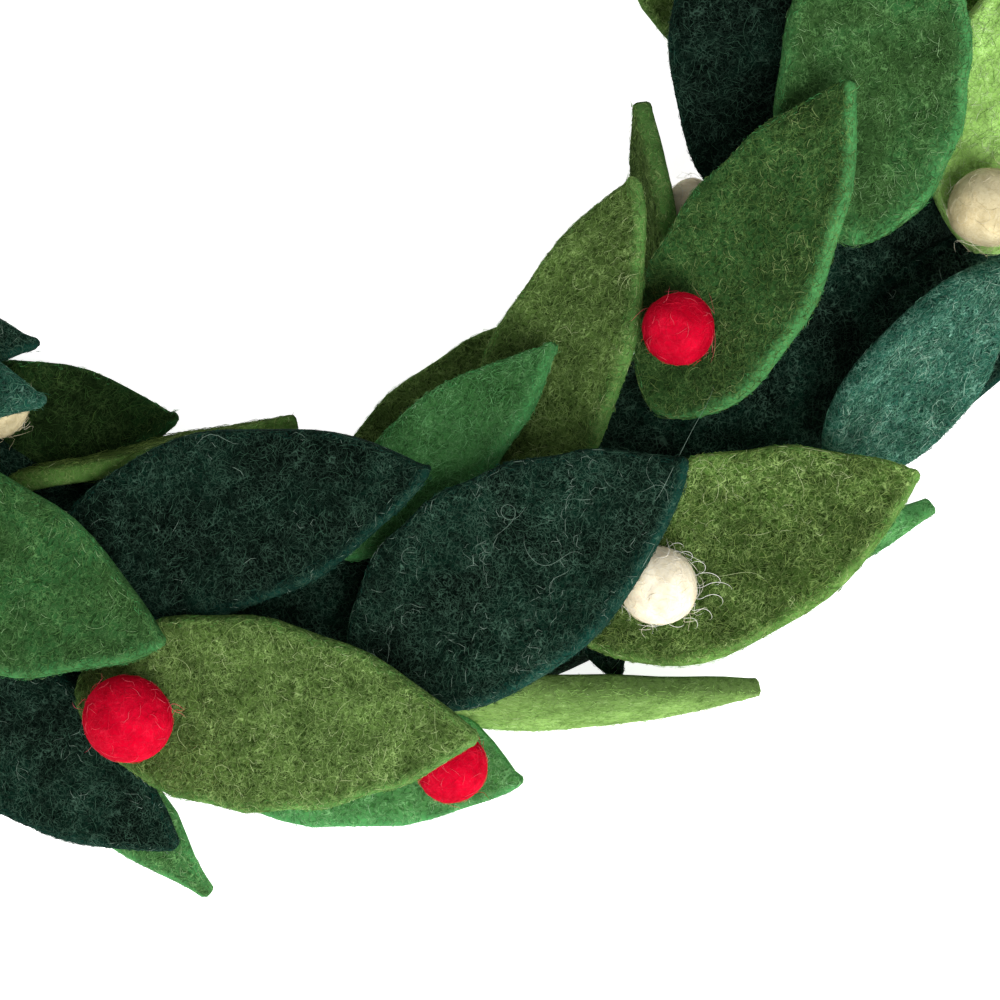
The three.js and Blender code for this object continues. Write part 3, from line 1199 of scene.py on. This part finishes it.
@dataclass
class FeltLeaf:
    """A leaf cut from felt sheet, with its coat of loose strands."""

    cut: LeafCut
    layer: Layer
    detail: LeafDetail

    def rounded(self, corners: np.ndarray) -> tuple[np.ndarray, ...]:
        """Map the corners of a unit box to the leaf's cut, with soft cut edges.

        Args:
            corners: Box corners from -0.5 to 0.5, (corners, 3).

        Returns:
            Distances along, across and through the leaf, and each corner's share of cut edge and its
            painted light and shade.
        """
        share = (1 - np.cos(math.pi * (corners[:, 0] + 0.5))) / 2
        side = np.sin(math.pi * corners[:, 1])
        through = 2 * corners[:, 2]
        half = self.cut.half_width(share)
        from_end = np.minimum(share, 1 - share) * self.cut.length
        from_side = (1 - np.abs(side)) * half
        from_face = (1 - np.abs(through)) * FELT / 2
        away = np.stack([from_end, from_side, from_face], axis=1)
        outer = side < 0
        round_by = np.where(outer, OUTER_ROUND, INNER_ROUND)[:, None]
        deep = np.maximum(0, round_by - away)
        scale = deep.max(axis=1) / np.maximum(np.linalg.norm(deep, axis=1), TINY)
        away = np.where(deep > 0, round_by - deep * scale[:, None], away)
        along = np.where(share < 0.5, away[:, 0], self.cut.length - away[:, 0])
        half = self.cut.half_width(along / self.cut.length)
        across = np.sign(side) * np.maximum(half - away[:, 1], 0)
        height = np.sign(through) * (FELT / 2 - away[:, 2])
        from_cut = np.minimum(from_side, from_end)
        way = along / self.cut.length
        # Painted light and shade: this leaf's tones.
        dye = PAINTED_LIGHT_TONES.get(self.cut.name, NO_PAINTED_LIGHT)
        # Painted highlight: the outer rim, turned to the light, is wider and stronger than the inner.
        reach = np.where(outer, OUTER_RIM_AND_HIGHLIGHT[0] + dye.root_rim * dye.to_root(way), INNER_RIM[0])
        rim = np.clip(1 - from_cut / reach, 0, 1) * np.where(outer, OUTER_RIM_AND_HIGHLIGHT[1], INNER_RIM[1])
        return along, across + self.cut_wave(along, across), height, rim, dye.at(side, way)

    def cut_wave(self, along: np.ndarray, across: np.ndarray) -> np.ndarray:
        """Give how far the scissors strayed from the even outline, in millimetres."""
        rng = np.random.default_rng(seed_of(self.cut.name) + CUT_STREAM)
        starts = rng.uniform(0, FULL_TURN, 2)
        reaches = rng.uniform(*CUT_WAVE_REACH, 2)
        half = self.cut.half_width(along / self.cut.length)
        share = across / np.maximum(half, LEAST_HALF)
        left, right = (np.sin(along * FULL_TURN / reaches[i] + starts[i]) for i in range(2))
        return CUT_WAVE * np.where(share > 0, left, right) * share**2

    def mesh(self) -> bpy.types.Mesh:
        """Cut a box into a grid and lay it out as the leaf.

        Returns:
            The leaf's closed mesh.
        """
        bm = bmesh.new()
        bmesh.ops.create_cube(bm, size=1.0)
        grid = (self.detail.along_steps, self.detail.across_steps, self.detail.through_steps)
        for axis, steps in enumerate(grid):
            lengthwise = [e for e in bm.edges if abs((e.verts[0].co - e.verts[1].co)[axis]) > LEAST_EDGE]
            bmesh.ops.subdivide_edges(bm, edges=lengthwise, cuts=steps - 1, use_grid_fill=True)
        corners = np.array([v.co[:] for v in bm.verts])
        along, across, height, rims, tones = self.rounded(corners)
        places = self.cut.surface(along, across, height) * MM
        rim_layer = bm.verts.layers.float.new("rim")
        tone_layer = bm.verts.layers.float.new("tone")
        for vertex, place, rim, tone in zip(bm.verts, places, rims, tones):
            vertex.co = place
            vertex[rim_layer] = rim
            vertex[tone_layer] = tone
        bmesh.ops.recalc_face_normals(bm, faces=bm.faces)
        if bm.calc_volume(signed=True) < 0:
            bmesh.ops.reverse_faces(bm, faces=bm.faces)
        return smooth_mesh(bm, f"{self.cut.name}_felt")

    def starts(self, rng: np.random.Generator, count: int) -> np.ndarray:
        """Draw shares of the length, as often as the leaf is wide there."""
        shares = np.linspace(*START_SPAN, START_STEPS)
        total = np.cumsum(self.cut.half_width(shares))
        return np.interp(rng.random(count), total / total[-1], shares)

    def cloud(self, along: np.ndarray, across: np.ndarray) -> np.ndarray:
        """Give how dark or light the loose wool is at places on the leaf, from random clouds and the leaf's
        painted light and shade, where 0 is its middle tone.
        """
        rng = np.random.default_rng(seed_of(self.cut.name) + CLOUD_STREAM)
        total = sine_sum(rng, CLOUD_WAVES, CLOUD_REACH, along, across)
        share = across / self.cut.half_width(along / self.cut.length)
        tone = PAINTED_LIGHT_TONES.get(self.cut.name, NO_PAINTED_LIGHT).at(share, along / self.cut.length)
        return np.clip(total / 2, -1, 1) + PAINTED_LIGHT_SWAY * tone

    def add_face(
        self, coat: FibreCoat, rng: np.random.Generator, wool: Wool, count: int, side: int
    ) -> None:
        """Lay strands on one face of the leaf.

        Args:
            coat: The coat that gets them.
            rng: The leaf's own random numbers.
            wool: How the strands lie.
            count: How many strands.
            side: 1 for the upper face, -1 for the under face.
        """
        share = self.starts(rng, count)
        along = share * self.cut.length
        across = rng.uniform(-1, 1, count) * self.cut.half_width(share)
        length, radius, shade = wool.sizes(rng, count, self.cloud(along, across))
        heading = rng.uniform(0, FULL_TURN) + rng.normal(0, LAY_SPREAD, count)
        offsets = wool.walk(rng, length, heading)
        run = np.clip(along[:, None] + offsets[..., 0], 0, self.cut.length)
        reach = self.cut.half_width(run / self.cut.length)
        tucked = np.maximum(reach - EDGE_TUCK, 0)
        aside = np.clip(across[:, None] + offsets[..., 1], -tucked, tucked)
        round_by = np.where(aside < 0, OUTER_ROUND, INNER_ROUND)
        past_round = np.clip(round_by - (reach - np.abs(aside)), 0, round_by)
        drop = round_by - np.sqrt(round_by**2 - past_round**2)
        height = side * (FELT / 2 - drop + wool.rise(rng, count))
        coat.add(self.cut.surface(run, aside + self.cut_wave(run, aside), height), radius, shade)

    def add_edge(self, coat: FibreCoat, rng: np.random.Generator, count: int) -> None:
        """Lay short strands round the rounded cut edge.

        Args:
            coat: The coat that gets them.
            rng: The leaf's own random numbers.
            count: How many strands.
        """
        share = rng.uniform(*EDGE_SPAN, count)
        side = np.where(rng.random(count) < OUTER_FUZZ, -1.0, 1.0)
        length, radius, shade = EDGE_WOOL.sizes(rng, count, np.zeros(count))
        offsets = EDGE_WOOL.walk(rng, length, rng.uniform(0, FULL_TURN, count))
        round_by = np.where(side < 0, OUTER_ROUND, INNER_ROUND)[:, None]
        turn = rng.uniform(*EDGE_TURN, count)[:, None] + offsets[..., 1] / round_by
        turn = np.clip(turn, *EDGE_TURN)
        out = round_by + EDGE_WOOL.rise(rng, count)
        along = share[:, None] * self.cut.length + offsets[..., 0]
        half = self.cut.half_width(along / self.cut.length)
        across = side[:, None] * (half - round_by + out * np.cos(turn))
        height = FELT / 2 - round_by + out * np.sin(turn)
        coat.add(self.cut.surface(along, across + self.cut_wave(along, across), height), radius, shade)

    def fuzz(self, rack: FeltRack) -> bpy.types.Object:
        """Make the leaf's coat of strands.

        Args:
            rack: The felts and wools.

        Returns:
            The fuzz piece.
        """
        rng = np.random.default_rng(seed_of(self.cut.name) + FUZZ_STREAM)
        coat = FibreCoat(f"{self.cut.name}_fuzz", self.cut.felt)
        self.add_face(coat, rng, FACE_WOOL, self.detail.face_strands, 1)
        self.add_face(coat, rng, FACE_WOOL, self.detail.face_strands // UNDER_FACE_PART, -1)
        self.add_face(coat, rng, CURL_WOOL, self.detail.curl_strands, 1)
        self.add_edge(coat, rng, self.detail.edge_strands)
        lay_hairs(coat, self.cut.name, self.cut)
        return coat.piece(rack)

    def build(self, rack: FeltRack) -> bpy.types.Object:
        """Args:
            rack: The felts and wools.

        Returns:
            The leaf.
        """
        leaf = new_piece(f"{self.cut.name}_felt", self.mesh())
        leaf.data.materials.append(rack.body(self.cut.felt))
        if self.layer is Layer.TOP:
            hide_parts(self.cut.name)
        self.cut.flat_area() * MM**2
        self.fuzz(rack)
        return leaf


@dataclass(frozen=True)
class BallSeat:
    """Where a felted ball sits: its leaf, the side of it, the place on it and the ball's diameter.

    The place is a share of the leaf's length and of its half width.
    """

    name: str
    felt: Felt
    leaf: str
    side: int
    along: float
    across: float
    diameter: float


@dataclass(frozen=True)
class BallRow:
    """A ball like the first on every leaf of a row, with wools in turn."""

    first: BallSeat
    felts: tuple[Felt, ...]
    count: int

    def seats(self) -> list[BallSeat]:
        """List the row's balls."""
        return [
            replace(
                self.first,
                name=f"{self.first.name}_{i + 1}",
                felt=self.felts[i % len(self.felts)],
                leaf=f"{self.first.leaf}_{i + 1}",
            )
            for i in range(self.count)
        ]


# Balls after the photo, and the rows of balls that finish the ring
BALL_SEATS = (
    BallSeat("berry_red_a", Felt.RED, "leaf_olive_b", 1, 0.19, -0.1, 12.4),
    BallSeat("berry_red_b", Felt.RED, "leaf_forest_a", 1, 0.26, 0.12, 10.4),
    BallSeat("berry_red_c", Felt.RED, "under_spring_b", 1, 0.81, 0.2, 10.6),
    BallSeat("berry_cream_a", Felt.CREAM, "leaf_moss_a", 1, 0.305, -0.15, 11),
    BallSeat("berry_cream_b", Felt.CREAM, "under_olive_a", -1, 0.58, 0, 8),
    BallSeat("berry_cream_c", Felt.CREAM_IN_SHADE, "leaf_lime_a", 1, 0.13, 0.3, 11.5),
    BallSeat("berry_cream_d", Felt.CREAM_IN_SHADE, "under_forest_a", 1, 0.45, 0.25, 10),
)
INNER_BALLS = BallSeat("berry_inner", Felt.CREAM, "leaf_inner", 1, 0.4, -0.95, 10)
OUTER_BALLS = BallSeat("berry_outer", Felt.RED, "leaf_outer", 1, 0.32, 0.35, 11)
BALL_ROWS = (
    BallRow(INNER_BALLS, (Felt.CREAM, Felt.RED), 9),
    BallRow(OUTER_BALLS, (Felt.RED, Felt.CREAM, Felt.RED), 9),
)


@dataclass
class FeltBall:
    """A wool ball felted by hand, set on a leaf."""

    seat: BallSeat
    carrier: LeafCut
    strands: int = 200
    subdivisions: int = 4
    lump: float = 0.14

    def centre(self) -> np.ndarray:
        """Give the ball's middle in the part's frame."""
        share = np.array([self.seat.along])
        along = share * self.carrier.length
        across = self.seat.across * self.carrier.half_width(share)
        face = np.array([self.seat.side * FELT / 2])
        near = self.carrier.surface(along, across, face)[0]
        far = self.carrier.surface(along, across, -face)[0]
        return near + unit(near - far) * (self.seat.diameter / 2 + BALL_CLEARANCE)

    def lumps(self, ways: np.ndarray) -> np.ndarray:
        """Give how far the ball's skin stands out in each direction, in millimetres."""
        rng = np.random.default_rng(seed_of(self.seat.name))
        total = np.zeros(ways.shape[:-1])
        for _ in range(LUMP_WAVES):
            axis = unit(rng.normal(size=3)) * rng.uniform(*LUMP_REACH)
            total += np.sin(ways @ axis + rng.uniform(0, FULL_TURN))
        return total * self.lump / 2

    def mesh(self) -> bpy.types.Mesh:
        """Shape the ball from a fine sphere with gentle lumps.

        Returns:
            The ball's closed mesh.
        """
        bm = bmesh.new()
        bmesh.ops.create_icosphere(bm, subdivisions=self.subdivisions, radius=1.0)
        ways = unit(np.array([v.co[:] for v in bm.verts]))
        reach = self.seat.diameter / 2 + self.lumps(ways)
        places = (self.centre() + ways * reach[:, None]) * MM
        tone_layer = bm.verts.layers.float.new("tone")
        # Painted light and shade: the ball is darker or lighter all over.
        tone = PAINTED_LIGHT_TONES.get(self.seat.name, NO_PAINTED_LIGHT).overall
        for vertex, place in zip(bm.verts, places):
            vertex.co = place
            vertex[tone_layer] = tone
        return smooth_mesh(bm, f"{self.seat.name}_felt")

    def wind(
        self, coat: FibreCoat, rng: np.random.Generator, wool: Wool, count: int, height: float
    ) -> None:
        """Wind loose strands round the ball.

        Args:
            coat: The coat that gets them.
            rng: The ball's own random numbers.
            wool: How the strands lie.
            count: How many strands.
            height: 1 spreads them evenly, less gathers them round the ball's sides.
        """
        half = self.seat.diameter / 2
        way = unit(rng.normal(size=(count, 3)) * np.array([1, 1, height]))
        across = unit(np.cross(way, rng.normal(size=(count, 3))))
        third = np.cross(way, across)
        length, radius, shade = wool.sizes(rng, count, np.zeros(count))
        reach = np.clip(wool.walk(rng, length, np.zeros(count)) / half, -WIND_LIMIT, WIND_LIMIT)
        ways = unit(
            way[:, None, :]
            + np.tan(reach[..., :1]) * across[:, None, :]
            + np.tan(reach[..., 1:]) * third[:, None, :]
        )
        out = half + self.lumps(ways) + wool.rise(rng, count)
        coat.add(self.centre() + ways * out[..., None], radius, shade)

    def fuzz(self, rack: FeltRack) -> bpy.types.Object:
        """Make the ball's strands, the wisps that stand off it and any listed hairs.

        Args:
            rack: The felts and wools.

        Returns:
            The fuzz piece.
        """
        rng = np.random.default_rng(seed_of(self.seat.name) + FUZZ_STREAM)
        coat = FibreCoat(f"{self.seat.name}_fuzz", self.seat.felt)
        self.wind(coat, rng, BALL_WOOL, self.strands, STRAND_HEIGHT)
        self.wind(coat, rng, WISP_WOOL, WISPS[self.seat.felt], WISP_HEIGHT)
        lay_hairs(coat, self.seat.name, self.carrier)
        return coat.piece(rack)

    def build(self, rack: FeltRack) -> bpy.types.Object:
        """Make the ball and its strands.

        Args:
            rack: The felts and wools.

        Returns:
            The ball.
        """
        ball = new_piece(f"{self.seat.name}_felt", self.mesh())
        ball.data.materials.append(rack.body(self.seat.felt))
        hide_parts(self.seat.name)
        self.fuzz(rack)
        return ball


@dataclass
class Wreath:
    """The whole wreath: the ring, the leaves in two layers and the balls."""

    rack: FeltRack = field(default_factory=FeltRack)
    ring: PaddedRing = field(default_factory=PaddedRing)

    def leaves(self) -> list[FeltLeaf]:
        """List the leaves: those after the photo and the rows, above and below."""
        made = [FeltLeaf(cut, Layer.TOP, NEAR_TOP) for cut in TOP_CUTS]
        made += [FeltLeaf(cut, Layer.TOP, FAR_TOP) for row in TOP_ROWS for cut in row.cuts()]
        made += [FeltLeaf(cut, Layer.UNDER, NEAR_UNDER) for cut in UNDER_CUTS]
        made += [FeltLeaf(cut, Layer.UNDER, FAR_UNDER) for row in UNDER_ROWS for cut in row.cuts()]
        return made

    def build(self) -> None:
        """Make every piece and report it."""
        LOG.info("ring: %s", self.ring.build(self.rack).name)
        carriers = {}
        for leaf in self.leaves():
            carriers[leaf.cut.name] = leaf.cut
            LOG.info("leaf: %s", leaf.build(self.rack).name)
        for seat in [*BALL_SEATS, *(seat for row in BALL_ROWS for seat in row.seats())]:
            ball = FeltBall(seat, carriers[seat.leaf])
            LOG.info("ball: %s", ball.build(self.rack).name)
        total = sum(len(p.vertices) - 2 for m in bpy.data.meshes for p in m.polygons)
        LOG.info("triangles in all: %d", total)


@dataclass
class Studio:
    """A pale floor, soft light from the lower right and a camera that looks straight down."""

    camera_place: tuple[float, float, float] = (30.1, -65.5, 400.0)
    lens: float = 95.76
    sensor: float = 36.0
    clip: tuple[float, float] = (0.01, 10.0)
    floor_size: float = 3.0
    floor_colour: str = "#f7f7f6"
    floor_roughness: float = 0.9
    floor_glow: float = 0.85
    light_colour: str = "#ffffff"
    sky: float = 0.38
    key_place: tuple[float, float, float] = (180.0, -280.0, 420.0)
    key_aim: tuple[float, float, float] = (30.0, -65.0, 10.0)
    key_size: float = 320.0
    key_power: float = 2.75

    def floor(self) -> bpy.types.Object:
        """Lay the pale floor."""
        bm = bmesh.new()
        bmesh.ops.create_grid(bm, x_segments=1, y_segments=1, size=self.floor_size / 2)
        mesh = smooth_mesh(bm, "studio_floor")
        # White paper on a light table: matt, even and bright.
        paper = bpy.data.materials.new("white_paper")
        paper.use_nodes = True
        finish = {
            "Base Color": linear(self.floor_colour),
            "Roughness": self.floor_roughness,
            "Emission Color": linear(self.light_colour),
            "Emission Strength": self.floor_glow,
        }
        feed(paper.node_tree, paper.node_tree.nodes["Principled BSDF"], finish)
        mesh.materials.append(paper)
        floor = bpy.data.objects.new("studio_floor", mesh)
        floor.location.z = -FLOOR_CLEAR * MM
        bpy.context.scene.collection.objects.link(floor)
        return floor

    def light(self) -> None:
        """Hang the soft key light and light the room evenly."""
        lamp = bpy.data.lights.new("key_softbox", "AREA")
        lamp.shape = "SQUARE"
        lamp.size = self.key_size * MM
        lamp.energy = self.key_power
        key = bpy.data.objects.new("key_softbox", lamp)
        key.location = Vector(self.key_place) * MM
        aim = Vector(self.key_aim) * MM - key.location
        key.rotation_euler = aim.to_track_quat("-Z", "Y").to_euler()
        bpy.context.scene.collection.objects.link(key)
        world = bpy.data.worlds.new("studio_room")
        world.use_nodes = True
        even = {"Color": linear(self.light_colour), "Strength": self.sky}
        feed(world.node_tree, world.node_tree.nodes["Background"], even)
        bpy.context.scene.world = world

    def camera(self) -> bpy.types.Object:
        """Hang the camera over the wreath's lower right."""
        lens = bpy.data.cameras.new("camera")
        lens.lens = self.lens
        lens.sensor_width = self.sensor
        lens.clip_start, lens.clip_end = self.clip
        camera = bpy.data.objects.new("camera", lens)
        camera.location = Vector(self.camera_place) * MM
        bpy.context.scene.collection.objects.link(camera)
        bpy.context.scene.camera = camera
        return camera

    def build(self) -> None:
        """Set the floor, the light, the camera and plain colours."""
        self.floor()
        self.light()
        self.camera()
        bpy.context.scene.view_settings.view_transform = "Standard"


def save_sizes() -> None:
    """Bring the scene's placements up to date.
    """
    bpy.context.view_layer.update()


def main() -> None:
    """Build the studio and the wreath in order."""
    logging.basicConfig(level=logging.INFO, format="%(name)s %(message)s")
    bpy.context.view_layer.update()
    Studio().build()
    Wreath().build()
    save_sizes()


if __name__ == "__main__":
    main()
